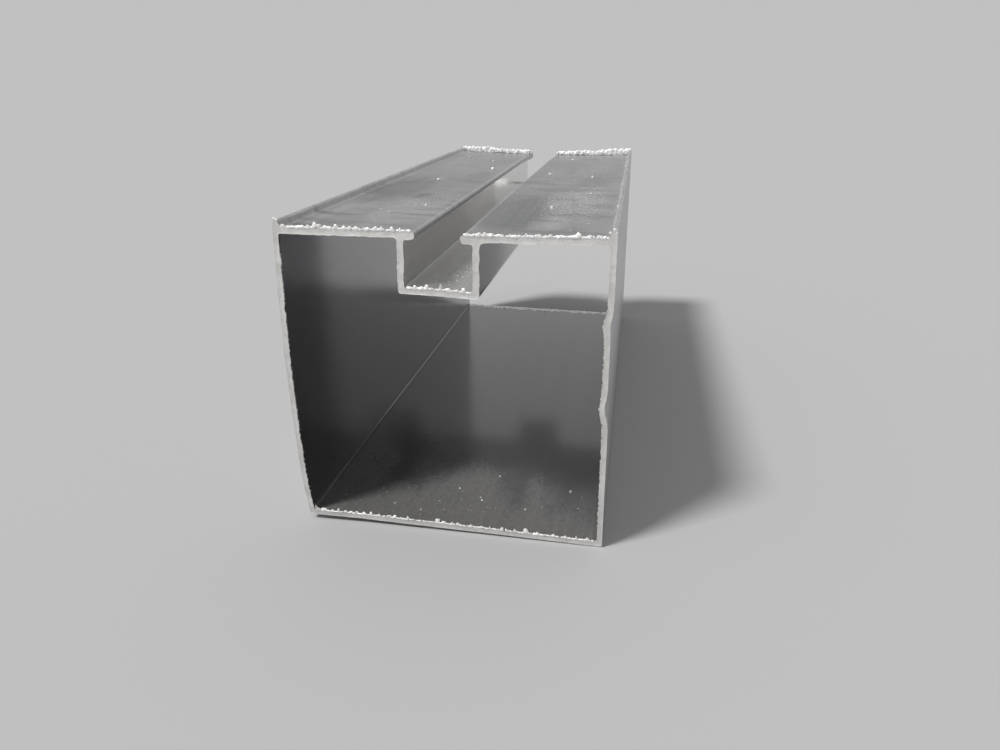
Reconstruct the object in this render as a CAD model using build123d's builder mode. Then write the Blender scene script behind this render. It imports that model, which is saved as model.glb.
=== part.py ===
"""Offcut of a square hollow aluminium profile with a lipped channel let into its top.

Millimetres. +X across the profile, +Y along its length, +Z up, origin under the
middle of the piece. The sawn end with the bellied cut is at -Y, the burred one at +Y.
"""

import os

from build123d import *

os.makedirs("parts", exist_ok=True)

# Outside
width = 60.0
plate_level = 58.8  # top face of the plates beside the slot
length = 154.0  # longest stretch between the two sawn ends

# Walls
side_wall = 1.0
bottom_plate = 1.1
top_plate = 1.1
corner_radius = 0.35  # outer corners under the piece
void_radius = 0.4  # inner corners of the hollow

# Ridges along both upper edges
ridge_rise = 1.2
ridge_foot = 1.5
ridge_crest = 0.9
ridge_radius = 0.35

# Channel, and the slot between its lips
channel_width = 12.2
channel_depth = 9.7  # plate_level down to the channel's floor
channel_wall = 1.1
channel_floor = 1.0
channel_radius = 0.5
neck_radius = 0.7  # where the channel's walls meet the plates
lip_reach = 2.05  # from the channel's wall to the lip's edge
lip_thickness = 1.4
lip_radius = 0.65

# Sawn ends: how far the saw wandered from square
near_skew = 2.1  # left side cut deeper than the right side
near_foot = 2.1  # bottom cut deeper than the belly
near_head = 1.5  # top cut deeper than the belly
belly_level = 32.0
far_skew = 3.6  # right side short of the left side
far_lean = 2.2  # top short of the bottom

# Burr that the saw threw up along the far end's top edge. Each pair is a share of
# the plate's span, counted from the wall, and the burr's height there over the plate
burr_depth = 1.1
left_burr = ((0.017, 1.8), (0.2, 1.75), (0.38, 1.85), (0.55, 1.2), (0.75, 1.15), (0.9, 1.2), (0.96, 0.7))
right_burr = ((0.017, 1.8), (0.15, 1.7), (0.32, 1.5), (0.48, 1.0), (0.7, 0.9), (0.9, 0.85), (0.96, 0.6))

half = width / 2
crest_level = plate_level + ridge_rise
under_plate = plate_level - top_plate
under_lip = plate_level - lip_thickness
floor_level = plate_level - channel_depth
under_floor = floor_level - channel_floor
void_half = half - side_wall
channel_half = channel_width / 2
channel_outer = channel_half + channel_wall
slot_half = channel_half - lip_reach
plate_span = half - slot_half
plate_core = plate_level - top_plate / 2
overrun = 5.0  # cutters reach this far past the piece


def at(x, z):
    """The section's corners at height z, x to either side of the middle."""
    return section.vertices().filter_by(lambda v: abs(abs(v.X) - x) < 0.01 and abs(v.Y - z) < 0.01)


with BuildPart() as slotted_box_profile:
    with BuildSketch(Plane.XZ) as section:
        # Outer block with a ridge standing on each upper edge
        with BuildLine():
            Polyline(
                (0, 0),
                (half, 0),
                (half, crest_level),
                (half - ridge_crest, crest_level),
                (half - ridge_foot, plate_level),
                (0, plate_level),
                close=True,
            )
        make_face()
        mirror(about=Plane.YZ)
        # The hollow, the channel hanging in it, and the slot
        with Locations((0, bottom_plate)):
            Rectangle(
                2 * void_half,
                under_plate - bottom_plate,
                align=(Align.CENTER, Align.MIN),
                mode=Mode.SUBTRACT,
            )
        with Locations((0, under_floor)):
            Rectangle(2 * channel_outer, plate_level - under_floor, align=(Align.CENTER, Align.MIN))
        with Locations((0, floor_level)):
            Rectangle(
                channel_width,
                under_lip - floor_level,
                align=(Align.CENTER, Align.MIN),
                mode=Mode.SUBTRACT,
            )
            Rectangle(
                2 * slot_half,
                channel_depth + overrun,
                align=(Align.CENTER, Align.MIN),
                mode=Mode.SUBTRACT,
            )
        # Radii of the die
        fillet(at(half, 0), corner_radius)
        fillet(at(void_half, bottom_plate) + at(void_half, under_plate), void_radius)
        fillet(at(half, crest_level) + at(half - ridge_crest, crest_level), ridge_radius)
        fillet(at(half - ridge_foot, plate_level), ridge_radius)
        fillet(at(channel_outer, under_plate), neck_radius)
        fillet(at(channel_outer, under_floor) + at(channel_half, floor_level), channel_radius)
        fillet(at(channel_half, under_lip), channel_radius)
        fillet(at(slot_half, plate_level) + at(slot_half, under_lip), lip_radius)
    extrude(amount=length / 2, both=True)

    # Near end: the blade came down askew and in a belly
    blade = Plane(
        origin=(half, -length / 2, 0),
        x_dir=(near_skew, width, 0),
        z_dir=(width, -near_skew, 0),
    )
    with BuildSketch(blade) as near_cut:
        with BuildLine():
            Spline((near_foot, 0), (0, belly_level), (near_head, crest_level))
            Polyline(
                (near_head, crest_level),
                (near_head, crest_level + overrun),
                (-overrun, crest_level + overrun),
                (-overrun, -overrun),
                (near_foot, -overrun),
                (near_foot, 0),
            )
        make_face()
    extrude(amount=width + overrun, both=True, mode=Mode.SUBTRACT)

    # Far end: one flat cut, out of square both ways
    far_cut = Plane(
        origin=(-half, length / 2, 0),
        x_dir=(width, -far_skew, 0),
        z_dir=(-far_skew / width, -1, -far_lean / crest_level),
    )
    split(bisect_by=far_cut, keep=Keep.TOP)

    # The burr stands over each plate as a wavy strip, in line with the cut
    for side, heights in ((-1, left_burr), (1, right_burr)):
        tops = [(half + side * (half - share * plate_span), plate_level + rise) for share, rise in heights]
        (start, _), (end, _) = tops[0], tops[-1]
        with BuildSketch(far_cut) as strip:
            with BuildLine():
                Spline(*tops)
                Polyline(tops[-1], (end, plate_core), (start, plate_core), tops[0])
            make_face()
        extrude(amount=burr_depth)

slotted_box_profile.part.label = "slotted_box_profile"
export_step(slotted_box_profile.part, "parts/slotted_box_profile.step")
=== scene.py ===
"""Looks of the slotted box profile: one sawn length of mill-finished aluminium.

Sizes named below are in millimetres, as in the CAD source. Blender gets metres.
"""

import functools
import itertools
import math

import bmesh
import bpy
import numpy as np
from mathutils import Matrix, Vector
from mathutils.geometry import delaunay_2d_cdt


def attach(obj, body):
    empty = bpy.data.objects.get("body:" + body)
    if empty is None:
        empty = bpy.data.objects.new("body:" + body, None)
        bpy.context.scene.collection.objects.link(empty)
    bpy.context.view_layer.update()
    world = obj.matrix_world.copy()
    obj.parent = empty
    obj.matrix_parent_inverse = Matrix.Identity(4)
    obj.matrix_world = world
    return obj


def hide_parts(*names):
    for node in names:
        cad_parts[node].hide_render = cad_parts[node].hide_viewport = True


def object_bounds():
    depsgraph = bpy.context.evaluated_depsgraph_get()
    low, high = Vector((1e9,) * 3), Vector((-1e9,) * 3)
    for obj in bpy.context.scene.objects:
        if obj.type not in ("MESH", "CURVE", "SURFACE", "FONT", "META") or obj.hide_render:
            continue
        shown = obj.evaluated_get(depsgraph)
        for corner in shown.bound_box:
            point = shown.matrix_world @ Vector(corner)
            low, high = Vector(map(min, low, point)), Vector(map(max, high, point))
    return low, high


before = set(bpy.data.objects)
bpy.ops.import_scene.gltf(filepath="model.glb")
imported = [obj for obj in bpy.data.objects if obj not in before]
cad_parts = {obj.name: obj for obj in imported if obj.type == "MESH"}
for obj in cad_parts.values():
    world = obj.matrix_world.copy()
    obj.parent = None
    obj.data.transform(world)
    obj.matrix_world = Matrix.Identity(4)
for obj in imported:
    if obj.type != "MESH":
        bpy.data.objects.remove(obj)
cad_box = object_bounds()

MM = 0.001
NODE = "slotted_box_profile"
UV_MAP = "OFBake"

# The section, as the CAD source has it
HALF, CREST, PLATE = 30.0, 60.0, 58.8
VOID_X, VOID_LOW, VOID_TOP = 29.0, 1.1, 57.7
RIDGE_FOOT, RIDGE_CREST = 28.5, 29.1
SLOT_X, LIP_Z = 4.05, 57.4
CHANNEL_X, FLOOR_Z = 6.1, 49.1
OUTER_X, UNDER_Z = 7.2, 48.1
HALF_LENGTH = 77.0

# How far the saw wandered at each end, as the CAD source has it
NEAR_SKEW, NEAR_FOOT, NEAR_HEAD, BELLY_Z = 2.1, 2.1, 1.5, 32.0
FAR_SKEW, FAR_LEAN = 3.6, 2.2

# What handling and sawing did
LOW_DENT_Z, HIGH_DENT_Z = 29.7, 44.3  # in the right wall, at the near end
SAG = 0.34  # of the channel's right half and the right plate, all along
RIGHT_SAG, LEFT_SAG, DIP = 0.6, 0.85, 0.45  # more at the far end
FOOT_KNOCK = 0.55  # of the left wall's foot, at the near end


def smooth(low, high, x):
    t = np.clip((x - low) / (high - low), 0, 1)
    return t * t * (3 - 2 * t)


def bell(x, middle, spread):
    return np.exp(-(((x - middle) / spread) ** 2))


def noise(points, size, seed=0):
    """Smooth noise from -1 to 1, with features about size across (one number, or one for each axis)."""
    q = np.asarray(points, float) / size + 1000.0
    cell = np.floor(q).astype(np.int64)
    part = q - cell
    part = part * part * (3 - 2 * part)
    total = np.zeros(len(q))
    for corner in itertools.product((0, 1), repeat=3):
        c = cell + corner
        # A hash of the corner's place, brought down to a number from 0 to 65535
        h = (c[:, 0] * 73856093) ^ (c[:, 1] * 19349663) ^ (c[:, 2] * 83492791) ^ (seed * 7919 + 13)
        h = ((h ^ (h >> 13)) * 1274126177) & 0xFFFFFFFF
        h = ((h ^ (h >> 15)) * 2246822519) & 0xFFFFFFFF
        h = (h ^ (h >> 16)) & 0xFFFF
        total += np.prod(np.where(corner, part, 1 - part), axis=1) * (h / 32767.5 - 1)
    return total


# The two sawn ends

def teeth(x, z, wide, tall, seed):
    """How much deeper than its line the saw cut, in broad waves and fine ripples."""
    p = np.stack([x, np.zeros_like(x), z], 1)
    return 0.07 * (1 + noise(p, (wide, 1, tall), seed)) + 0.03 * (1 + noise(p, (3, 1, 1.1), seed + 1))


def near_cut(x, z):
    """y of the near end: askew, bellied, and a little proud at the lower left corner."""
    below = np.clip(BELLY_Z - z, 0, None) / BELLY_Z
    above = np.clip(z - BELLY_Z, 0, None) / (CREST - BELLY_Z)
    y = -HALF_LENGTH + NEAR_SKEW * (HALF - x) / (2 * HALF) + NEAR_FOOT * below**2 + NEAR_HEAD * above**2
    return y - 0.3 * bell(x, -HALF, 9) * bell(z, 0, 9) + teeth(x, z, 9, 5, 1)


def far_cut(x, z):
    """y of the far end: flat, and out of square both ways."""
    return HALF_LENGTH - FAR_SKEW * (x + HALF) / (2 * HALF) - FAR_LEAN * z / CREST - teeth(x, z, 8, 6, 3)


def warp(p):
    """What handling and sawing did to the straight section. p is (x, y, z) in rows."""
    x, y, z = p.T
    near = y - near_cut(x, z)
    far = far_cut(x, z) - y
    out = p.copy()
    # Two dents where the right wall meets the near cut, and a shallow hollow between them
    wall = smooth(26, 28.8, x)
    inner = 1 - smooth(29.2, 29.8, x)
    dent = 0.3 * smooth(25, 29, z) * (1 - smooth(44, 48, z))
    dent = dent + 0.42 * bell(z, LOW_DENT_Z, 1.7) + (0.12 + 0.3 * inner) * bell(z, HIGH_DENT_Z, 1.5)
    out[:, 0] -= wall * dent * np.exp(-((near / 6) ** 2))
    # The right half of the channel and the right plate sit lower all along
    top = smooth(40, 47, z)
    past = np.clip((VOID_X - x) / (VOID_X - OUTER_X), 0, 1)
    out[:, 2] -= top * SAG * np.where(x < OUTER_X, smooth(-1, 6, x), past)
    # At the far end the whole channel and both plates do, and the right plate dips beside its wall
    end = np.exp(-((far / 16) ** 2))
    over = smooth(-CHANNEL_X, CHANNEL_X, x)
    left = np.clip((x + VOID_X) / (VOID_X - CHANNEL_X), 0, 1) * (1 - over)
    out[:, 2] -= top * end * (RIGHT_SAG * np.where(x < OUTER_X, over, past) + LEFT_SAG * left)
    out[:, 2] -= top * DIP * end * smooth(7, 24, x) * (1 - smooth(28.2, 28.9, x))
    # The foot of the left wall is knocked in at the near end
    foot = bell(z, 0, 6) * np.exp(-((near / 12) ** 2))
    out[:, 0] += FOOT_KNOCK * (1 - smooth(-HALF, -16, x)) * foot
    # Slight waves left by the die and by handling
    calm = smooth(0, 6, near) * smooth(0, 6, far)
    plate = smooth(2, 6, np.abs(z - 30) - 20)
    out[:, 2] -= 0.035 * calm * plate * smooth(30, 40, z) * (1 + noise(p, (14, 34, 30), 5))
    side = smooth(26, 29, np.abs(x)) * smooth(0, 8, z) * (1 - smooth(50, 58, z))
    out[:, 0] -= np.sign(x) * 0.03 * calm * side * (1 + noise(p, (30, 36, 15), 6))
    return out


# The profile's mesh

def rounded(corners, step):
    """Closed loop of points about step apart, with an arc of the given radius at each (x, z, radius)."""
    arcs, count = [], len(corners)
    for i, (x, z, r) in enumerate(corners):
        here = np.array([x, z])
        before = np.array(corners[i - 1][:2]) - here
        after = np.array(corners[(i + 1) % count][:2]) - here
        before, after = before / np.linalg.norm(before), after / np.linalg.norm(after)
        half = math.acos(np.clip(before @ after, -1, 1)) / 2
        reach = r / math.tan(half)
        middle = here + (before + after) / np.linalg.norm(before + after) * r / math.sin(half)
        start, end = here + before * reach, here + after * reach
        n = max(3, math.ceil((math.pi - 2 * half) * r / 0.16))
        a0 = math.atan2(*(start - middle)[::-1])
        a1 = math.atan2(*(end - middle)[::-1])
        swing = (a1 - a0 + math.pi) % (2 * math.pi) - math.pi
        angles = a0 + swing * np.linspace(0, 1, n + 1)
        arcs.append(middle + r * np.stack([np.cos(angles), np.sin(angles)], 1))
    points = []
    for i, arc in enumerate(arcs):
        points.append(arc)
        gap = arcs[(i + 1) % count][0] - arc[-1]
        n = max(1, round(np.linalg.norm(gap) / step))
        points.append(arc[-1] + gap * np.linspace(0, 1, n + 1)[1:-1, None])
    return np.concatenate(points)


def mirrored(right):
    """A loop's corners from its right half, which runs from the bottom up to the middle."""
    return right + [(-x, z, r) for x, z, r in reversed(right)]


OUTSIDE = mirrored([
    (HALF, 0, 0.35),
    (HALF, CREST, 0.35),
    (RIDGE_CREST, CREST, 0.35),
    (RIDGE_FOOT, PLATE, 0.35),
    (SLOT_X, PLATE, 0.65),
    (SLOT_X, LIP_Z, 0.65),
    (CHANNEL_X, LIP_Z, 0.5),
    (CHANNEL_X, FLOOR_Z, 0.5),
])
INSIDE = mirrored([
    (VOID_X, VOID_LOW, 0.4),
    (VOID_X, VOID_TOP, 0.4),
    (OUTER_X, VOID_TOP, 0.7),
    (OUTER_X, UNDER_Z, 0.5),
])
LOOP_STEP = 0.5
END_STEPS = np.array([0, 0.12, 0.3, 0.6, 1.0, 1.6, 2.4, 3.4, 4.8, 6.6, 9.0, 12.0])
MIDDLE_STEPS = 34
CAP_STEP = 0.3
SHEET = 332.0  # side of the square that the whole surface is laid out on
SHEET_GAP = 2.0  # between the outside and the inside on it
FACES_U, FACES_V, FACES_PITCH = 268.0, 4.0, 72.0  # where the two cut faces lie on it
MILL, SATIN, BRIGHT, CUT = range(4)  # the profile's materials, in their order on the mesh


def within(points, loop):
    """Whether each point lies inside the closed loop."""
    a, b = loop, np.roll(loop, -1, 0)
    x, z = points[:, :1], points[:, 1:]
    crosses = (a[:, 1] > z) != (b[:, 1] > z)
    with np.errstate(divide="ignore", invalid="ignore"):
        at = (b[:, 0] - a[:, 0]) * (z - a[:, 1]) / (b[:, 1] - a[:, 1]) + a[:, 0]
    return (crosses & (x < at)).sum(1) % 2 == 1


def sides_out(loop):
    """Unit vectors to the right of the way round the loop."""
    along = np.roll(loop, -1, 0) - np.roll(loop, 1, 0)
    along /= np.linalg.norm(along, axis=1, keepdims=True)
    return np.stack([along[:, 1], -along[:, 0]], 1)


def lanes(loop, outward):
    """The loop carried along the length: stations, points, (x, y, z). Its ends have a torn rim."""
    x, z = loop.T
    y0, y1 = near_cut(x, z), far_cut(x, z)
    first = y0 + END_STEPS[:, None]
    last = (y1 - END_STEPS[:, None])[::-1]
    t = np.linspace(0, 1, MIDDLE_STEPS + 2)[1:-1, None]
    y = np.concatenate([first, first[-1] * (1 - t) + last[0] * t, last])
    grid = np.stack([np.broadcast_to(x, y.shape), y, np.broadcast_to(z, y.shape)], 2).copy()
    exposed = (np.abs(x) > HALF - 0.1) | (z < 0.1)
    for row, share in ((0, 1), (1, 0.7), (2, 0.2), (-1, 1), (-2, 0.7), (-3, 0.2)):
        p = grid[row]
        torn = 0.11 * noise(p, 1.1, 21) + 0.08 * noise(p, 0.5, 22)
        torn = np.where(exposed, -0.5 * np.abs(torn), torn + 0.03) * share
        grid[row][:, (0, 2)] += (torn * outward.T).T
    return grid


def mesh_object(name, points, faces, kinds=None, materials=(), uv=None):
    mesh = bpy.data.meshes.new(name)
    mesh.from_pydata((np.asarray(points) * MM).tolist(), [], faces)
    for m in materials:
        mesh.materials.append(m)
    if kinds is not None:
        mesh.polygons.foreach_set("material_index", np.asarray(kinds, np.int32))
    if uv is not None:
        layer = mesh.uv_layers.new(name=UV_MAP)
        layer.data.foreach_set("uv", (np.asarray(uv) / SHEET).ravel())
    mesh.shade_smooth()
    thing = bpy.data.objects.new(name, mesh)
    bpy.context.scene.collection.objects.link(thing)
    return thing


def filled(loops):
    """Inner points and triangles of the band between two loops, which are numbered after the loops'."""
    rim = np.concatenate(loops)
    edges, start = [], 0
    for loop in loops:
        edges += [(start + i, start + (i + 1) % len(loop)) for i in range(len(loop))]
        start += len(loop)
    gx, gz = np.meshgrid(np.arange(-HALF, HALF, CAP_STEP), np.arange(0, CREST, CAP_STEP * 0.87))
    gx[1::2] += CAP_STEP / 2
    grid = np.stack([gx.ravel(), gz.ravel()], 1)
    # Points close to a rim would make slivers
    grid = grid[within(grid, loops[0]) & ~within(grid, loops[1])]
    clear = np.min([
        np.hypot(*(grid[:, None] - part[None]).transpose(2, 0, 1)).min(1) for part in np.array_split(rim, 12)
    ], 0)
    grid = grid[clear > 0.6 * CAP_STEP]
    flat = np.concatenate([rim, grid])
    found = delaunay_2d_cdt([Vector(p) for p in flat], edges, [], 1, 1e-6)
    source = [o[0] for o in found[3]]
    triangles = np.array([[source[i] for i in t] for t in found[2]])
    middle = flat[triangles].mean(1)
    triangles = triangles[within(middle, loops[0]) & ~within(middle, loops[1])]
    a, b, c = flat[triangles].transpose(1, 0, 2)
    flipped = np.cross(b - a, c - a) < 0
    triangles[flipped] = triangles[flipped][:, ::-1]
    return grid, triangles


def skin(loop, grid, index, inside):
    """Quads between the stations of a loop, and where their corners lie on the laid-out square."""
    around = np.append(0, np.cumsum(np.linalg.norm(np.roll(loop, -1, 0) - loop, axis=1)))
    along = grid[:, :, 1] + HALF_LENGTH + inside * (2 * HALF_LENGTH + SHEET_GAP)
    a, b = index[:-1], index[1:]
    va, vb = along[:-1], along[1:]
    u0, u1 = np.broadcast_to(around[:-1], va.shape), np.broadcast_to(around[1:], va.shape)
    quads = [a, b, np.roll(b, -1, 1), np.roll(a, -1, 1)]
    places = [(u0, va), (u0, vb), (u1, np.roll(vb, -1, 1)), (u1, np.roll(va, -1, 1))]
    if inside:
        quads, places = quads[::-1], places[::-1]
    uv = np.stack([np.stack(place, 2) for place in places], 2)
    return np.stack(quads, 2).reshape(-1, 4).tolist(), uv.reshape(-1, 2)


def skin_kinds(loop, inside):
    """The material at each of the loop's points."""
    x, z = loop.T
    in_channel = (np.abs(x) < CHANNEL_X + 0.1) & (z < LIP_Z + 0.1)
    return np.full(len(loop), BRIGHT) if inside else np.where(in_channel, SATIN, MILL)


def scored(grid, cut, end):
    """The inner points of a cut face, with the lines that the blade left: end is 0 near and 1 far."""
    x, z = grid.T
    p = np.stack([x, np.zeros_like(x), z], 1)
    score = 0.035 * (1 + noise(p, (2.6, 1, 0.22), 11 + end)) + 0.025 * (1 + noise(p, 0.35, 13 + end))
    return np.stack([x, cut(x, z) + (-score if end else score), z], 1)


def build_profile(materials):
    loops = [rounded(OUTSIDE, LOOP_STEP), rounded(INSIDE, LOOP_STEP)]
    points, faces, kinds, uv, rims = [], [], [], [], []
    base = 0
    for loop, inside in zip(loops, (False, True)):
        grid = lanes(loop, sides_out(loop) * (-1 if inside else 1))
        rows, n = grid.shape[:2]
        index = base + np.arange(rows * n).reshape(rows, n)
        quads, places = skin(loop, grid, index, inside)
        faces += quads
        uv.append(places)
        kinds += np.tile(skin_kinds(loop, inside), rows - 1).tolist()
        points.append(grid.reshape(-1, 3))
        rims.append((index[0], index[-1]))
        base += rows * n
    grid, triangles = filled(loops)
    flat = np.concatenate([*loops, grid])
    for end, cut in enumerate((near_cut, far_cut)):
        points.append(scored(grid, cut, end))
        number = np.concatenate([*(rim[end] for rim in rims), base + np.arange(len(grid))])
        shown = triangles[:, ::-1] if end else triangles
        faces += number[shown].tolist()
        corner = np.array([FACES_U + HALF, FACES_V + FACES_PITCH * end])
        uv.append((flat[shown] + corner).reshape(-1, 2))
        kinds += [CUT] * len(triangles)
        base += len(grid)
    shape = warp(np.concatenate(points))
    body = mesh_object("profile_body", shape, faces, kinds, materials, np.concatenate(uv))
    body.data.set_sharp_from_angle(angle=math.radians(50))
    return body


# Burr and filings

def unit_ball():
    work = bmesh.new()
    bmesh.ops.create_icosphere(work, subdivisions=3, radius=1)
    points = np.array([v.co for v in work.verts])
    faces = np.array([[v.index for v in f.verts] for f in work.faces])
    work.free()
    return points, faces


BALL = unit_ball()


def turned(rng):
    """A random rotation."""
    q, _ = np.linalg.qr(rng.normal(size=(3, 3)))
    return q * np.sign(np.linalg.det(q))


def grain(rng, centre, radii, facets=5, ragged=0.3):
    """A torn crumb of metal: a ball pushed about, with a few flats."""
    points = BALL[0] @ turned(rng)
    shift = rng.uniform(0, 50, 3)
    points = points * (1 + ragged * (noise(points + shift, 0.9) + 0.2 * noise(points + shift, 0.5)))[:, None]
    for _ in range(facets):
        way = rng.normal(size=3)
        way /= np.linalg.norm(way)
        points = points - np.clip(points @ way - rng.uniform(0.5, 0.85), 0, None)[:, None] * way
    return points * radii + centre


def fused(name, grains, voxel, material, rounds):
    """One closed mesh of all the grains."""
    count = len(BALL[0])
    faces = np.concatenate([BALL[1] + i * count for i in range(len(grains))])
    thing = mesh_object(name, warp(np.concatenate(grains)), faces.tolist())
    remesh = thing.modifiers.new("fuse", "REMESH")
    remesh.mode = "VOXEL"
    remesh.voxel_size = voxel * MM
    soften = thing.modifiers.new("soften", "SMOOTH")
    soften.iterations = rounds
    mesh = bpy.data.meshes.new_from_object(thing.evaluated_get(bpy.context.evaluated_depsgraph_get()))
    thing.modifiers.clear()
    old, thing.data = thing.data, mesh
    bpy.data.meshes.remove(old)
    mesh.name = name
    places = np.empty(len(mesh.vertices) * 3)
    mesh.vertices.foreach_get("co", places)
    places = np.clip(places.reshape(-1, 3), np.array(cad_box[0]), np.array(cad_box[1]))
    mesh.vertices.foreach_set("co", places.ravel())
    mesh.materials.clear()
    mesh.materials.append(material)
    mesh.shade_smooth()
    return thing


# Clumps along the near edges: x, height over the surface, half of the width
NEAR_EDGES = {
    PLATE: [
        (-28.0, 0.5, 0.5), (-26.6, 0.35, 0.4), (-24.6, 0.4, 0.45), (-23.4, 0.5, 0.4), (-22.1, 0.95, 0.45),
        (-21.3, 0.75, 0.4), (-20.2, 0.5, 0.45), (-18.2, 0.7, 0.35), (-16.6, 0.55, 0.45), (-15.5, 0.6, 0.4),
        (-14.4, 0.5, 0.5), (-12.4, 0.5, 0.4), (-10.9, 0.5, 0.4), (-9.9, 0.55, 0.25), (-7.9, 0.6, 0.42),
        (-6.5, 0.42, 0.3), (-4.9, 0.3, 0.3), (5.2, 0.3, 0.3), (6.3, 0.4, 0.35), (7.2, 0.5, 0.4),
        (8.2, 0.55, 0.38), (9.2, 0.55, 0.4), (10.7, 0.4, 0.55), (13.4, 0.35, 0.5), (15.1, 0.45, 0.25),
        (19.1, 0.45, 0.35), (20.4, 0.3, 0.3), (23.4, 0.5, 0.7), (23.8, 0.9, 0.4), (25.5, 0.45, 0.4),
        (26.8, 0.35, 0.3), (27.5, 0.45, 0.25),
    ],
    FLOOR_Z: [
        (-5.2, 0.35, 0.4), (-4.2, 0.55, 0.35), (-3.0, 0.5, 0.4), (-2.0, 0.8, 0.42), (-1.2, 0.4, 0.25),
        (0.5, 0.9, 0.3), (1.9, 0.5, 0.45), (3.2, 0.5, 0.4), (4.5, 0.8, 0.38), (5.7, 0.3, 0.35),
    ],
    VOID_LOW: [
        (-26.9, 0.6, 0.62), (-24.9, 0.4, 0.3), (-23.6, 0.75, 0.26), (-22.0, 0.45, 0.45),
        (-20.8, 0.4, 0.4), (-17.9, 0.5, 0.4), (-16.4, 0.65, 0.3), (-14.7, 0.35, 0.25), (-11.3, 0.5, 0.35),
        (-8.6, 0.55, 0.3), (-2.4, 0.95, 0.5), (-1.2, 0.45, 0.4), (0.6, 0.5, 0.12), (1.8, 0.6, 0.3),
        (4.3, 0.45, 0.25), (6.5, 0.3, 0.2), (8.2, 0.5, 0.12), (10.6, 0.6, 0.35), (11.4, 0.45, 0.25),
        (13.1, 0.5, 0.22), (15.3, 0.95, 0.55), (17.5, 0.5, 0.2), (20.7, 0.5, 0.18), (23.0, 0.4, 0.3),
        (25.1, 0.6, 0.15), (27.1, 0.6, 0.3),
    ],
}
# Height of the far burr over the plates, against x
FAR_LEFT = [(-29.8, 1.8), (-23.4, 1.95), (-19.5, 2.1), (-17.5, 1.5), (-9.1, 1.6), (-6.4, 2.0), (-4.4, 1.2)]
FAR_RIGHT = [(4.4, 0.9), (5.7, 1.5), (17.7, 1.7), (22.2, 2.3), (25.5, 2.3), (29.8, 1.8)]


def spread(rng, low, high, gap):
    """Places from low to high, gap apart give or take a third."""
    count = max(1, round((high - low) / gap))
    return low + (high - low) * (np.arange(count) + 0.5 + rng.uniform(-0.35, 0.35, count)) / count


def at_cut(cut, x, z):
    return float(cut(np.array([x]), np.array([z]))[0])


# For each near edge: where its burr runs, how far it hangs over the face, its least and most height, and
# how much of the edge has any
NEAR_BANDS = {
    PLATE: ([(-28.7, -4.6), (4.6, 28.6)], 0.22, 0.12, 0.46, 0.75),
    FLOOR_Z: ([(-5.8, 5.8)], 0.2, 0.1, 0.36, 0.9),
    VOID_LOW: ([(-28.8, 28.8)], 0.06, 0.04, 0.24, 0.55),
}
# Crumbs on the near ends of the ridges and of the walls: x, z, height, half width
EDGE_CRUMBS = [
    (-29.65, 60.0, 0.45, 0.3), (-29.2, 59.9, 0.25, 0.25), (29.45, 59.95, 0.5, 0.35), (28.8, 59.5, 0.4, 0.3),
    (29.8, 59.6, 0.3, 0.2), (-29.45, 0.12, 0.28, 0.2), (-7.15, 53.0, 0.2, 0.12), (-7.15, 50.2, 0.2, 0.12),
    (-6.0, 57.2, 0.2, 0.14), (6.2, 55.5, 0.14, 0.1), (7.1, 51.5, 0.14, 0.1),
]
# Places where the face itself is torn up: x, z, height, half width
TORN_FACE = [
    (-28.5, VOID_LOW, 1.15, 0.42), (-28.1, VOID_LOW, 0.7, 0.5), (-19.4, VOID_LOW, 0.55, 0.5),
    (-12.5, VOID_LOW, 0.5, 0.6), (23.6, PLATE, 0.8, 0.75),
]


def build_near_burr(material):
    rng = np.random.default_rng(4)
    grains = []

    def put(x, z, height, wide, deep=None, hang=0.0):
        """A grain that stands height over z and hangs below it in front of the face."""
        deep = rng.uniform(0.16, 0.3) if deep is None else deep
        y = at_cut(near_cut, x, z) + deep * (0.8 - 1.6 * hang)
        grains.append(grain(rng, (x, y, z + (height - hang) / 2), (wide, deep, (height + hang) / 2 + 0.08)))

    for z, (runs, hang, least, most, full) in NEAR_BANDS.items():
        for low, high in runs:
            for x in spread(rng, low, high, 0.36):
                swell = 0.75 + 0.4 * math.sin(x * 0.9 + 1.7 * math.sin(x * 0.31))
                if rng.uniform() < full:
                    height = swell * rng.uniform(least, most)
                    put(x, z, height, rng.uniform(0.15, 0.45), 0.24, hang * swell * rng.uniform(0.1, 1.2))
            for x in spread(rng, low, high, 0.3):
                put(x, z, 0.75 * rng.uniform(least, most), rng.uniform(0.1, 0.2))
        for x, height, wide in NEAR_EDGES[z]:
            put(x, z, height, wide * 1.1, 0.24 + 0.15 * height, hang)
            put(x + rng.uniform(-0.3, 0.3), z, height * 0.6, wide * 0.8)
    for x, z, height, wide in EDGE_CRUMBS:
        put(x, z, height, wide)
    for z in spread(rng, 4, 54, 1.3):
        put(28.95, z, rng.uniform(0.12, 0.25), 0.09)
        put(-28.95, z + 0.7, rng.uniform(0.12, 0.25), 0.07)
        put(-29.93, z - 0.4, rng.uniform(0.1, 0.3), 0.07)
    return fused("near_burr", grains, 0.075, material, 1)


def build_torn_face(material):
    rng = np.random.default_rng(6)
    grains = []
    for x, z, height, wide in TORN_FACE:
        for share in (1.0, 0.6, 0.6):
            at = x + (1 - share) * wide * rng.uniform(-1.6, 1.6)
            y = at_cut(near_cut, at, z) + 0.12
            radii = (wide * share, 0.15, 0.75 * height * share)
            grains.append(grain(rng, (at, y, z + 0.3 * height * share), radii))
    return fused("torn_face", grains, 0.08, material, 1)


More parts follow.
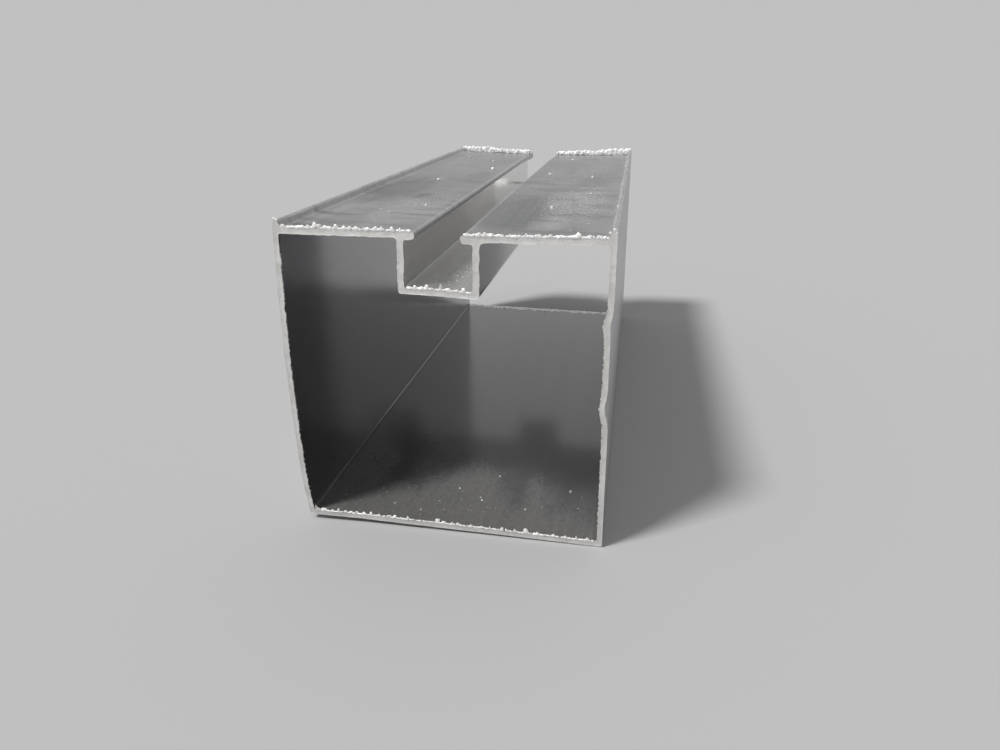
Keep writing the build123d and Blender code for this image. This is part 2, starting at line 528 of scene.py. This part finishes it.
def build_far_burr(material):
    rng = np.random.default_rng(9)
    grains = []

    def put(x, z, height, wide, deep, back):
        y = at_cut(far_cut, x, z) - back
        grains.append(grain(rng, (x, y, z), (wide, deep, height)))

    def fold(x, z, height, wide, reach):
        """A low swelling on the surface at z, that runs back from the cut by twice its reach."""
        sunk = 1.2
        share = math.sqrt(1 - (sunk / (sunk + height)) ** 2)
        y = at_cut(far_cut, x, z) - 0.03
        radii = (wide / share, reach / share, sunk + height)
        p = grain(rng, (x, y - reach, z - sunk), radii, 1, 0.06)
        grains.append(np.clip(p, (-29.7, -HALF_LENGTH, z - 0.7), (29.7, y, CREST)))

    for heights in (FAR_LEFT, FAR_RIGHT):
        xs, hs = np.array(heights).T
        for x in spread(rng, xs[0], xs[-1], 0.7):
            h = float(np.interp(x, xs, hs)) * rng.uniform(0.88, 1.0)
            put(x, PLATE + h * 0.45, h * 0.56, rng.uniform(0.7, 1.1), rng.uniform(0.55, 0.7), 0.35)
        for x in spread(rng, xs[0] + 0.2, xs[-1] - 0.2, 0.5):
            h = float(np.interp(x, xs, hs))
            z = PLATE + h * rng.uniform(0.15, 0.8)
            size = rng.uniform(0.3, 0.5)
            put(x, z, size, size * 1.4, size, 0.45 + rng.uniform(-0.2, 0.35))
    # Over the bottom plate and the channel's floor the burr is folded in, long and low
    folds = ((-5.6, 1.0, FLOOR_Z, 0.4), (1.0, 5.6, FLOOR_Z, 0.6), (-28.7, 28.7, VOID_LOW, 0.55))
    for low, high, z, tall in folds:
        for x in spread(rng, low, high, 0.7):
            swell = 0.8 + 0.25 * math.sin(x * 1.3 + 2 * math.sin(x * 0.37))
            fold(x, z, tall * swell * rng.uniform(0.8, 1.1), rng.uniform(0.6, 1.0), 1.8 * swell)
    # A lump stands on the right of the channel's floor
    for x in spread(rng, 0.9, 5.7, 0.6):
        put(x, FLOOR_Z + 0.4, rng.uniform(0.9, 1.2), 0.6, 0.8, 0.6)
    for z in spread(rng, 3, 56, 0.9):
        for side in (-1, 1):
            put(side * VOID_X, z, rng.uniform(0.15, 0.5), rng.uniform(0.05, 0.13), 0.15, 0.08)
    return fused("far_burr", grains, 0.115, material, 6)


def chip(rng, centre, size):
    """A flat flake with a curl to it: points and faces."""
    sides = rng.integers(5, 9)
    angle = np.sort(rng.uniform(0, 2 * math.pi, sides)) + rng.uniform(0, 6)
    reach = rng.uniform(0.5, 1, sides) * size
    ring = np.stack([np.cos(angle) * reach, np.sin(angle) * reach * rng.uniform(0.35, 0.9)], 1)
    way = rng.normal(size=2)
    curl = (ring @ (way / np.linalg.norm(way))) ** 2 / size * rng.uniform(0.1, 0.5)
    low = np.column_stack([ring, curl])
    thick = rng.uniform(0.03, 0.07)
    points = np.concatenate([low, low + (0, 0, thick), [(0, 0, 0), (0, 0, thick)]])
    points = points + centre + (0, 0, -0.02)  # a trifle sunk into what it lies on
    faces = []
    for i in range(sides):
        j = (i + 1) % sides
        faces += [(i, j, sides + j), (i, sides + j, sides + i)]
        faces += [(2 * sides, j, i), (2 * sides + 1, sides + i, sides + j)]
    return points, faces


# Where filings lie thickly: x, distance from the near cut, z, spread, how many, size
FILINGS = [
    (0, 9, VOID_LOW, (25, 7), 34, 0.09),
    (1.5, 12, FLOOR_Z, (4.2, 9), 130, 0.1),
    (-11, 32, PLATE, (5, 8), 30, 0.09),
    (-14, 20, PLATE, (9, 14), 12, 0.08),
    (-14, 90, PLATE, (8, 40), 14, 0.1),
    (20, 42, PLATE, (6, 22), 90, 0.085),
    (20, 30, PLATE, (7, 20), 40, 0.07),
    (14, 100, PLATE, (9, 30), 16, 0.1),
]
# Larger flakes, one by one: x, y, z, size
FLAKES = [
    (-9.5, -47, PLATE, 0.35), (-10.2, -45.5, PLATE, 0.25), (-17.0, -53, PLATE, 0.3), (-14.5, -56, PLATE, 0.3),
    (-17.5, -7.5, PLATE, 0.45), (-16.9, -6.2, PLATE, 0.35), (-8.4, 15.5, PLATE, 0.5),
    (16.0, -45.5, PLATE, 0.5), (15.7, -44.3, PLATE, 0.3), (22.5, -26, PLATE, 0.35), (21, 4, PLATE, 0.35),
    (8.8, 9, PLATE, 0.4), (9.3, 13, PLATE, 0.45), (25.0, -47, PLATE, 0.25), (24.5, -62, PLATE, 0.3),
    (4.6, -64, VOID_LOW, 0.3), (4.2, -62.8, VOID_LOW, 0.22), (-1, -60, VOID_LOW, 0.28),
    (-0.2, -61, VOID_LOW, 0.2), (6.5, -53.5, VOID_LOW, 0.28), (22.5, -57.5, VOID_LOW, 0.33),
    (-13, -68, VOID_LOW, 0.25), (-7, -69.5, VOID_LOW, 0.2),
]
# Crumbs that stand up from the surface, the first seven on the ridges: x, y, z, half size
CRUMBS = [
    (29.1, -50, 59.8, 0.24), (29.15, -38, 59.85, 0.13), (29.1, -18, 59.85, 0.16), (29.15, 5, 59.85, 0.17),
    (29.15, 20, 59.8, 0.24), (29.2, 24, 59.85, 0.16), (-29.4, -36, 59.8, 0.14),
    (-8.0, 17.5, PLATE, 0.5), (-17.3, -7, PLATE, 0.42), (-9.6, -46.6, PLATE, 0.24), (-14.4, -56, PLATE, 0.2),
    (-17.1, -53, PLATE, 0.18), (16.0, -45, PLATE, 0.3), (9.0, 11, PLATE, 0.28), (21, 4, PLATE, 0.3),
    (22.5, -26, PLATE, 0.24), (12, 48, PLATE, 0.4), (-12, 40, PLATE, 0.3), (-22, 52, PLATE, 0.3),
    (4.6, -64, VOID_LOW, 0.22), (4.1, -62.9, VOID_LOW, 0.14), (-1, -60, VOID_LOW, 0.2),
    (6.5, -53.5, VOID_LOW, 0.2), (22.5, -57.5, VOID_LOW, 0.24), (-13, -68, VOID_LOW, 0.16),
    (-7, -69.5, VOID_LOW, 0.14), (14, -66, VOID_LOW, 0.15),
]


def build_filings(material):
    rng = np.random.default_rng(17)
    points, faces, base = [], [], 0
    places = []
    for x0, deep, z, (wide, long), count, size in FILINGS:
        for _ in range(count):
            x = x0 + wide * rng.uniform(-1, 1)
            y = at_cut(near_cut, x, z) + max(0.5, deep + long * rng.normal() * 0.5)
            places.append((x, min(y, 68.0), z, size * rng.lognormal(0, 0.45)))
    for x, y, z, size in places + FLAKES:
        p, f = chip(rng, (x, y, z), size)
        points.append(p)
        faces += [tuple(base + i for i in face) for face in f]
        base += len(p)
    for x, y, z, size in CRUMBS:
        p = grain(rng, (x, y, z + 0.5 * size), (size, size * rng.uniform(0.9, 1.5), 0.8 * size))
        points.append(p)
        faces += (BALL[1] + base).tolist()
        base += len(p)
    return mesh_object("filings", warp(np.concatenate(points)), faces, materials=[material])


# Materials

class Nodes:
    """A material's nodes, with short calls for the kinds used here."""

    def __init__(self, name):
        self.material = bpy.data.materials.new(name)
        self.material.use_nodes = True
        self.tree = self.material.node_tree
        self.shader = self.tree.nodes["Principled BSDF"]
        self.place = self.add("ShaderNodeTexCoord").outputs["Object"]

    def add(self, kind, **settings):
        node = self.tree.nodes.new(kind)
        for key, value in settings.items():
            setattr(node, key, value)
        return node

    def feed(self, socket, value):
        if isinstance(value, bpy.types.NodeSocket):
            self.tree.links.new(value, socket)
        else:
            socket.default_value = value

    def math(self, operation, a, b=0.0):
        node = self.add("ShaderNodeMath", operation=operation)
        self.feed(node.inputs[0], a)
        self.feed(node.inputs[1], b)
        return node.outputs[0]

    def times(self, *values):
        return functools.reduce(lambda a, b: self.math("MULTIPLY", a, b), values)

    def plus(self, *values):
        return functools.reduce(lambda a, b: self.math("ADD", a, b), values)

    def most(self, *values):
        return functools.reduce(lambda a, b: self.math("MAXIMUM", a, b), values)

    def less(self, value):
        """What is left of 1."""
        return self.math("SUBTRACT", 1.0, value)

    def noise(self, size, detail=2.0, rough=0.5, turn=0.0, shift=0.0, about="Z_AXIS"):
        """Noise from 0 to 1 with features of size (x, y, z) mm, after a turn in degrees."""
        where = self.place
        if turn:
            spin = self.add("ShaderNodeVectorRotate", rotation_type=about)
            spin.inputs["Angle"].default_value = math.radians(turn)
            self.feed(spin.inputs["Vector"], where)
            where = spin.outputs[0]
        scale = self.add("ShaderNodeMapping")
        self.feed(scale.inputs["Vector"], where)
        scale.inputs["Scale"].default_value = [1 / (s * MM) for s in size]
        scale.inputs["Location"].default_value = (shift, shift * 0.7, shift * 1.3)
        node = self.add("ShaderNodeTexNoise")
        self.feed(node.inputs["Vector"], scale.outputs[0])
        node.inputs["Scale"].default_value = 1
        node.inputs["Detail"].default_value = detail
        node.inputs["Roughness"].default_value = rough
        return node.outputs[0]

    def band(self, value, low, high, start=0.0, end=1.0):
        """Value taken smoothly from start at low to end at high."""
        node = self.add("ShaderNodeMapRange", interpolation_type="SMOOTHSTEP")
        self.feed(node.inputs["Value"], value)
        for name, number in (("From Min", low), ("From Max", high), ("To Min", start), ("To Max", end)):
            node.inputs[name].default_value = number
        return node.outputs[0]

    def mix(self, share, a, b):
        """Colour from a to b."""
        node = self.add("ShaderNodeMix", data_type="RGBA")
        self.feed(node.inputs[0], share)
        for socket, value in ((node.inputs[6], a), (node.inputs[7], b)):
            self.feed(socket, (*value, 1) if isinstance(value, tuple) else value)
        return node.outputs[2]

    def spots(self, places, ragged=0.35):
        """1 inside ragged ellipses on the XY plane, 0 outside: (x, y, half size in x, half size in y)."""
        wobble = self.times(self.noise((3.5, 7, 30), 4, 0.6, 0, 9), ragged * 2)
        flat = self.add("ShaderNodeVectorMath", operation="MULTIPLY")
        self.feed(flat.inputs[0], self.place)
        flat.inputs[1].default_value = (1, 1, 0)
        patches = []
        for x, y, wide, long in places:
            shift = self.add("ShaderNodeMapping")
            self.feed(shift.inputs["Vector"], flat.outputs[0])
            shift.inputs["Scale"].default_value = (1 / (wide * MM), 1 / (long * MM), 1)
            shift.inputs["Location"].default_value = (-x / wide, -y / long, 0)
            length = self.add("ShaderNodeVectorMath", operation="LENGTH")
            self.feed(length.inputs[0], shift.outputs[0])
            reach = self.plus(length.outputs["Value"], wobble)
            patches.append(self.band(reach, 0.6 + ragged, 1.35 + ragged, 1, 0))
        return self.most(*patches)

    def axis(self, name):
        """The point's place along X, Y or Z, in mm."""
        if not hasattr(self, "split"):
            self.split = self.add("ShaderNodeSeparateXYZ")
            self.feed(self.split.inputs[0], self.place)
        return self.times(self.split.outputs[name], 1 / MM)

    def scratches(self, turn, length, width, limit, shift, about="Z_AXIS"):
        """Sparse thin marks, turned from the length: on the plates, or on the sides with about X_AXIS."""
        size = (width, length, 40) if about == "Z_AXIS" else (40, length, width)
        lines = self.noise(size, 0, 0, turn, shift, about)
        on = self.band(lines, limit, limit + 0.02)
        patchy = self.noise((length * 0.7, length * 0.7, 30), 1, 0.5, 0, shift + 5)
        return self.times(on, self.band(patchy, 0.5, 0.6))

    def bump(self, height, distance):
        node = self.add("ShaderNodeBump")
        node.inputs["Strength"].default_value = 1.0
        node.inputs["Distance"].default_value = distance * MM
        self.feed(node.inputs["Height"], height)
        self.feed(self.shader.inputs["Normal"], node.outputs[0])

    def finish(self, colour, roughness, anisotropy=0.0, metal=1.0):
        self.feed(self.shader.inputs["Base Color"], colour)
        self.feed(self.shader.inputs["Roughness"], roughness)
        self.feed(self.shader.inputs["Metallic"], metal)
        if anisotropy:
            self.shader.inputs["Anisotropic"].default_value = anisotropy
            across = self.add("ShaderNodeTangent", direction_type="UV_MAP", uv_map=UV_MAP)
            self.feed(self.shader.inputs["Tangent"], across.outputs[0])
        return self.material


def die_lines(n):
    """Fine and broad lines that the die leaves along the length."""
    fine = n.noise((0.35, 110, 0.35), 3, 0.6)
    broad = n.noise((2.6, 420, 2.6), 2, 0.5, 0, 3)
    return fine, broad


def cool(tone):
    """Grey with a trace of blue."""
    return (tone, tone, tone + 0.005)


# Rubbed metal, also used for the painted highlight along the ridges' crests
RUBBED_AND_HIGHLIGHT = (0.94, 0.94, 0.935)
# Patches on the two plates: x, y, half size in x, half size in y
# The clean patches come out dark in colour, a painted reflection
CLEAN = [(-22, -21, 6, 20), (-21.5, -14, 5, 9), (9.5, -50, 6, 22), (8.5, -44, 4, 8), (-14, -33, 1.8, 4)]
DULL = [(-11, -58, 7, 14), (20.5, -34, 6.5, 17), (18, -62, 3.5, 7), (-25.5, -60, 1.6, 13)]
STAINS = [(20.5, -52.5, 3.4, 0.8), (20, -52, 1.6, 1.8), (22, -6, 4, 9), (-9, 5, 3, 8)]
GRITTY = [(20.5, -36, 7, 24), (-10, -42, 6, 8)]
LESS_GRITTY = [(2, 14, 28, 24)]


def mill_haze(n, top):
    """How hazy the outside is: smudged all over, and wiped on the plates."""
    haze = n.band(n.noise((11, 30, 11), 5, 0.6, 0, 7), 0.32, 0.66, 0.42, 0.62)
    haze = n.plus(haze, n.times(n.spots(DULL), 0.16))
    # Wipe marks across the plates, and clean patches
    wisps = n.band(n.noise((15, 4.2, 15), 4, 0.6, 12, 23), 0.5, 0.66)
    wisps = n.times(wisps, top, n.band(n.axis("Y"), -8, 12, 0.55, 0.15))
    clean = n.times(n.spots(CLEAN, 0.55), 0.94, top)
    haze = n.times(haze, n.less(wisps), n.less(clean))
    # The foot of the left ridge isn't wiped
    foot = n.times(n.band(n.axis("X"), -28.1, -27.2, 1, 0), n.band(n.axis("Z"), 58.86, 59.0, 0.28, 0))
    return n.plus(haze, n.times(foot, top))


def mill_marks(n, top, sides):
    """Scratches: on the plates in three directions, on the sides in two."""
    above = n.most(
        n.scratches(24, 22, 0.08, 0.7, 1),
        n.scratches(-58, 12, 0.07, 0.7, 4),
        n.scratches(84, 16, 0.08, 0.69, 8),
    )
    beside = n.most(
        n.scratches(5, 34, 0.1, 0.66, 12, "X_AXIS"),
        n.scratches(-31, 9, 0.08, 0.7, 15, "X_AXIS"),
    )
    return n.times(n.plus(n.times(above, top), n.times(beside, sides)), 0.35)


def mill_specks(n, top):
    """Fine bright grit, most of it on the plates."""
    thick = n.plus(n.times(n.spots(GRITTY), 0.08), n.times(n.spots(LESS_GRITTY), 0.03))
    grit = n.plus(n.noise((0.42, 0.62, 0.42), 1), thick)
    return n.times(n.band(grit, 0.66, 0.74, 0.0, 0.8), n.most(top, 0.3))


def rubbed_and_highlit_edges(n, aside, top):
    """Where the edges are rubbed bright, with a painted highlight along the ridges' crests: the ridges, which
    are nicked too, and the lips.
    """
    crest = n.band(n.axis("Z"), 59.5, 59.7)
    edge = n.times(n.band(aside, 28.9, 29.05), n.band(aside, 29.25, 29.4, 1, 0.6), crest)
    # The crest line is rubbed wear with a painted highlight laid over it
    rub_and_highlight = n.times(edge, n.band(n.noise((1, 9, 1), 3, 0.6), 0.35, 0.65, 0.35, 0.8))
    nicks = n.times(n.band(n.noise((0.6, 1.3, 0.6), 1), 0.62, 0.68), n.band(aside, 28.9, 29.1), crest)
    lip = n.times(n.band(aside, 4.1, 4.3), n.band(aside, 4.5, 4.8, 0.5, 0), top)
    return n.most(rub_and_highlight, nicks), lip


def mill_finish():
    """Outside: frosted, smudged and lightly scratched, with bright edges, partly rubbed and partly a painted
    highlight on the ridges' crests; its clean patches are coloured dark as a painted reflection.
    """
    n = Nodes("mill_finish")
    fine, broad = die_lines(n)
    aside = n.math("ABSOLUTE", n.axis("X"))
    top = n.times(n.band(n.axis("Z"), 58.0, 58.5), n.band(aside, 29.75, 29.9, 1, 0))
    sides = n.less(top)
    haze = mill_haze(n, top)
    marks = mill_marks(n, top, sides)
    specks = mill_specks(n, top)
    frost = n.band(n.noise((0.5, 0.9, 0.5), 4, 0.8, 0, 17), 0.35, 0.65, 0.0, 0.5)
    grime = n.band(n.noise((3, 8, 3), 5, 0.65, 0, 11), 0.5, 0.72)
    drawn = n.times(n.band(n.noise((0.7, 240, 0.7), 3, 0.6, 0, 27), 0.4, 0.7, 0.0, 0.5), sides)
    # Clean metal is coloured dark and hazy metal light: partly real haze, partly a painted dark reflection on
    # the clean patches
    colour = n.mix(haze, (0.25, 0.255, 0.268), cool(0.7))
    colour = n.mix(n.times(frost, haze), colour, cool(0.42))
    colour = n.mix(n.times(grime, 0.3), colour, cool(0.38))
    colour = n.mix(n.times(n.spots(STAINS, 0.2), 0.45), colour, (0.32, 0.325, 0.34))
    colour = n.mix(n.band(broad, 0.35, 0.65, 0.0, 0.15), colour, cool(0.46))
    colour = n.mix(drawn, colour, cool(0.4))
    colour = n.mix(n.most(marks, specks), colour, (0.92, 0.92, 0.92))
    # Rubbed edges, with a painted highlight on the ridges' crests
    for edges in rubbed_and_highlit_edges(n, aside, top):
        colour = n.mix(edges, colour, RUBBED_AND_HIGHLIGHT)
    rough = n.plus(n.band(haze, 0, 1, 0.31, 0.45), n.band(fine, 0.3, 0.7, -0.02, 0.02))
    lines = n.plus(n.times(fine, 0.25), n.times(broad, 0.8))
    n.bump(n.plus(lines, n.times(marks, -0.6), n.times(specks, 2.0)), 0.005)
    return n.finish(colour, rough, 0.35, n.band(haze, 0, 1, 0.97, 0.6))


def channel_finish():
    """Channel: satin, and clearer towards the far end."""
    n = Nodes("channel_finish")
    fine, broad = die_lines(n)
    patchy = n.band(n.noise((6, 30, 6), 4, 0.6), 0.3, 0.6, 0.6, 1)
    haze = n.times(n.band(n.axis("Y"), -70, 40, 0.95, 0.15), patchy)
    colour = n.mix(n.band(broad, 0.35, 0.65), (0.64, 0.635, 0.625), (0.7, 0.695, 0.685))
    colour = n.mix(n.band(n.noise((4, 12, 4), 4, 0.6), 0.5, 0.75, 0, 0.35), colour, (0.5, 0.5, 0.5))
    rough = n.plus(n.band(haze, 0.1, 0.9, 0.1, 0.24), n.band(fine, 0.3, 0.7, -0.01, 0.01))
    n.bump(broad, 0.002)
    return n.finish(colour, rough, 0.95, n.band(haze, 0, 1, 0.98, 0.75))


def hollow_finish():
    """Hollow: smooth from the die and coloured dark, partly as painted shade, with a film of dust on its
    floor near the near cut and painted shade in its lower corners.
    """
    n = Nodes("hollow_finish")
    fine, broad = die_lines(n)
    reach = n.plus(n.axis("Y"), n.band(n.noise((12, 30, 12), 3, 0.5, 0, 5), 0.3, 0.7, -11, 11))
    film = n.times(n.band(reach, -70, -36, 0.9, 0.0), n.band(n.axis("Z"), 1.3, 3.0, 1, 0))
    film = n.plus(film, n.band(n.noise((12, 60, 12), 2, 0.5), 0.4, 0.7, 0.04, 0.18))
    dust = n.times(film, n.band(n.noise((0.5, 0.9, 0.5), 4, 0.7, 0, 31), 0.35, 0.75, 0.72, 1.1))
    streaks = n.band(n.noise((0.35, 60, 0.35), 2, 0.6, 0, 21), 0.5, 0.75, 0, 0.3)
    # The hollow's colour is far darker than the outside's: a die finish a little greyer, and painted shade
    # for its dim inside
    colour = n.mix(n.band(broad, 0.3, 0.7, 0.0, 0.4), (0.31, 0.31, 0.32), (0.28, 0.28, 0.285))
    colour = n.mix(dust, colour, (0.36, 0.352, 0.34))
    colour = n.mix(n.times(streaks, film), colour, (0.55, 0.545, 0.53))
    # Painted shade along the lower corners: their fillets are coloured dark
    corner = n.plus(n.math("ABSOLUTE", n.axis("X")), n.times(n.axis("Z"), -1.0))
    colour = n.mix(n.band(corner, 26.6, 27.6, 0.0, 0.58), colour, (0.2, 0.195, 0.19))
    rough = n.plus(n.band(film, 0, 1, 0.14, 0.24), n.band(fine, 0.3, 0.7, -0.01, 0.01))
    n.bump(n.plus(n.times(fine, 0.2), broad), 0.002)
    return n.finish(colour, rough, 0.6, n.band(dust, 0, 1, 0.9, 0.55))


def sawn_face():
    """Cut faces: warm grey and matt, scored by the blade."""
    n = Nodes("sawn_face")
    score = n.noise((1.6, 1.6, 0.12), 2, 0.6)
    pits = n.noise((0.22, 0.22, 0.22), 3, 0.6)
    blotch = n.noise((3, 3, 3), 3, 0.6)
    glints = n.band(n.noise((0.16, 0.16, 0.16), 1), 0.64, 0.72)
    colour = n.mix(n.band(blotch, 0.35, 0.65), (0.68, 0.665, 0.645), (0.8, 0.785, 0.765))
    colour = n.mix(n.band(pits, 0.5, 0.72, 0, 0.5), colour, (0.5, 0.49, 0.475))
    colour = n.mix(glints, colour, (0.97, 0.965, 0.95))
    n.bump(n.plus(score, pits), 0.025)
    return n.finish(colour, n.band(pits, 0.3, 0.7, 0.42, 0.55), metal=0.45)


def torn_metal():
    """Burr and filings: fresh bright metal."""
    n = Nodes("torn_metal")
    fine = n.noise((0.12, 0.12, 0.12), 3, 0.6)
    coarse = n.noise((0.6, 0.6, 0.6), 2, 0.5)
    colour = n.mix(n.band(coarse, 0.35, 0.65), (0.92, 0.915, 0.9), (0.975, 0.97, 0.955))
    n.bump(fine, 0.012)
    # What the saw folded over the bottom plate at the far end is smeared smooth
    smeared = n.times(n.band(n.axis("Y"), 0, 5), n.band(n.axis("Z"), 20, 30, 1, 0))
    rough = n.plus(n.band(fine, 0.3, 0.7, 0.34, 0.46), n.times(smeared, -0.04))
    return n.finish(colour, rough, metal=n.band(smeared, 0, 1, 0.25, 0.9))


mill, satin, bright, cut, torn = mill_finish(), channel_finish(), hollow_finish(), sawn_face(), torn_metal()
body = build_profile([mill, satin, bright, cut])
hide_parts(NODE)
for piece in (body, build_near_burr(torn), build_torn_face(cut), build_far_burr(torn), build_filings(torn)):
    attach(piece, "root")

# Stage: a pale floor that runs into a background of the same tone
PALE = 0.53
OVERHEAD = 0.33  # tone of the backdrop high up
AMBIENT = 0.38
SUN_RISE, SUN_FROM, SUN_SPREAD = 56.0, -138.0, 11.0  # in degrees: how high, from which side, how wide
FLOOR_SIZE = 40.0  # metres
FLOOR_GAP = 0.1
FLOOR_LEAN = 1.0  # degrees

# Camera fitted to the photograph's edges: its place, the way it looks and the way to its right
EYE = (32.46, -193.91, 82.57)
LOOK = Vector((-0.16747, 0.91273, -0.37266))
ACROSS = Vector((0.98407, 0.17764, -0.00716))
LENS, SENSOR = 26.54, 36.0


def stage_floor():
    bpy.ops.mesh.primitive_plane_add(size=FLOOR_SIZE)
    floor = bpy.context.object
    floor.name = "floor"
    # It lies a hair below the piece, more so on the left, where a dark gap shows
    lean = math.radians(FLOOR_LEAN)
    floor.rotation_euler.y = -lean
    floor.location.z = (-FLOOR_GAP - HALF * math.tan(lean)) * MM
    m = bpy.data.materials.new("floor")
    m.use_nodes = True
    nodes, links = m.node_tree.nodes, m.node_tree.links
    nodes.clear()
    out = nodes.new("ShaderNodeOutputMaterial")
    pale = nodes.new("ShaderNodeBsdfDiffuse")
    pale.inputs["Color"].default_value = (PALE, PALE, PALE, 1)
    links.new(pale.outputs[0], out.inputs["Surface"])
    floor.data.materials.append(m)


def studio_world():
    world = bpy.data.worlds.new("studio")
    bpy.context.scene.world = world
    world.use_nodes = True
    nodes, links = world.node_tree.nodes, world.node_tree.links
    nodes.clear()
    out = nodes.new("ShaderNodeOutputWorld")
    ambient = nodes.new("ShaderNodeBackground")
    ambient.inputs["Color"].default_value = (1, 1, 1, 1)
    ambient.inputs["Strength"].default_value = AMBIENT
    backdrop = nodes.new("ShaderNodeBackground")
    mix = nodes.new("ShaderNodeMixShader")
    path = nodes.new("ShaderNodeLightPath")
    seen = path.outputs["Is Camera Ray"]
    for name in ("Is Glossy Ray", "Is Transmission Ray"):
        either = nodes.new("ShaderNodeMath")
        either.operation = "MAXIMUM"
        links.new(seen, either.inputs[0])
        links.new(path.outputs[name], either.inputs[1])
        seen = either.outputs[0]
    # The backdrop darkens overhead, as a studio's does above its lamps
    where = nodes.new("ShaderNodeTexCoord")
    split = nodes.new("ShaderNodeSeparateXYZ")
    links.new(where.outputs["Generated"], split.inputs[0])
    fade = nodes.new("ShaderNodeMapRange")
    links.new(split.outputs["Z"], fade.inputs["Value"])
    for name, number in (("From Min", 0.1), ("From Max", 0.5), ("To Min", PALE), ("To Max", OVERHEAD)):
        fade.inputs[name].default_value = number
    links.new(fade.outputs[0], backdrop.inputs["Strength"])
    backdrop.inputs["Color"].default_value = (1, 1, 1, 1)
    links.new(seen, mix.inputs[0])
    links.new(ambient.outputs[0], mix.inputs[1])
    links.new(backdrop.outputs[0], mix.inputs[2])
    links.new(mix.outputs[0], out.inputs["Surface"])


def key_light():
    data = bpy.data.lights.new("key", "SUN")
    data.angle = math.radians(SUN_SPREAD)
    rise, side = math.radians(SUN_RISE), math.radians(SUN_FROM)
    data.energy = (1 - AMBIENT) * math.pi / math.sin(rise)
    key = bpy.data.objects.new("key", data)
    towards = Vector((math.cos(rise) * math.cos(side), math.cos(rise) * math.sin(side), math.sin(rise)))
    key.rotation_euler = towards.to_track_quat("Z", "Y").to_euler()
    bpy.context.scene.collection.objects.link(key)


def photo_camera():
    data = bpy.data.cameras.new("camera")
    data.sensor_width = SENSOR
    data.lens = LENS
    data.clip_start = 0.01
    camera = bpy.data.objects.new("camera", data)
    turn = Matrix((ACROSS, ACROSS.cross(LOOK), -LOOK)).transposed()
    camera.matrix_world = Matrix.Translation([place * MM for place in EYE]) @ turn.to_4x4()
    bpy.context.scene.collection.objects.link(camera)
    bpy.context.scene.camera = camera


stage_floor()
studio_world()
key_light()
photo_camera()
bpy.context.scene.view_settings.view_transform = "Standard"
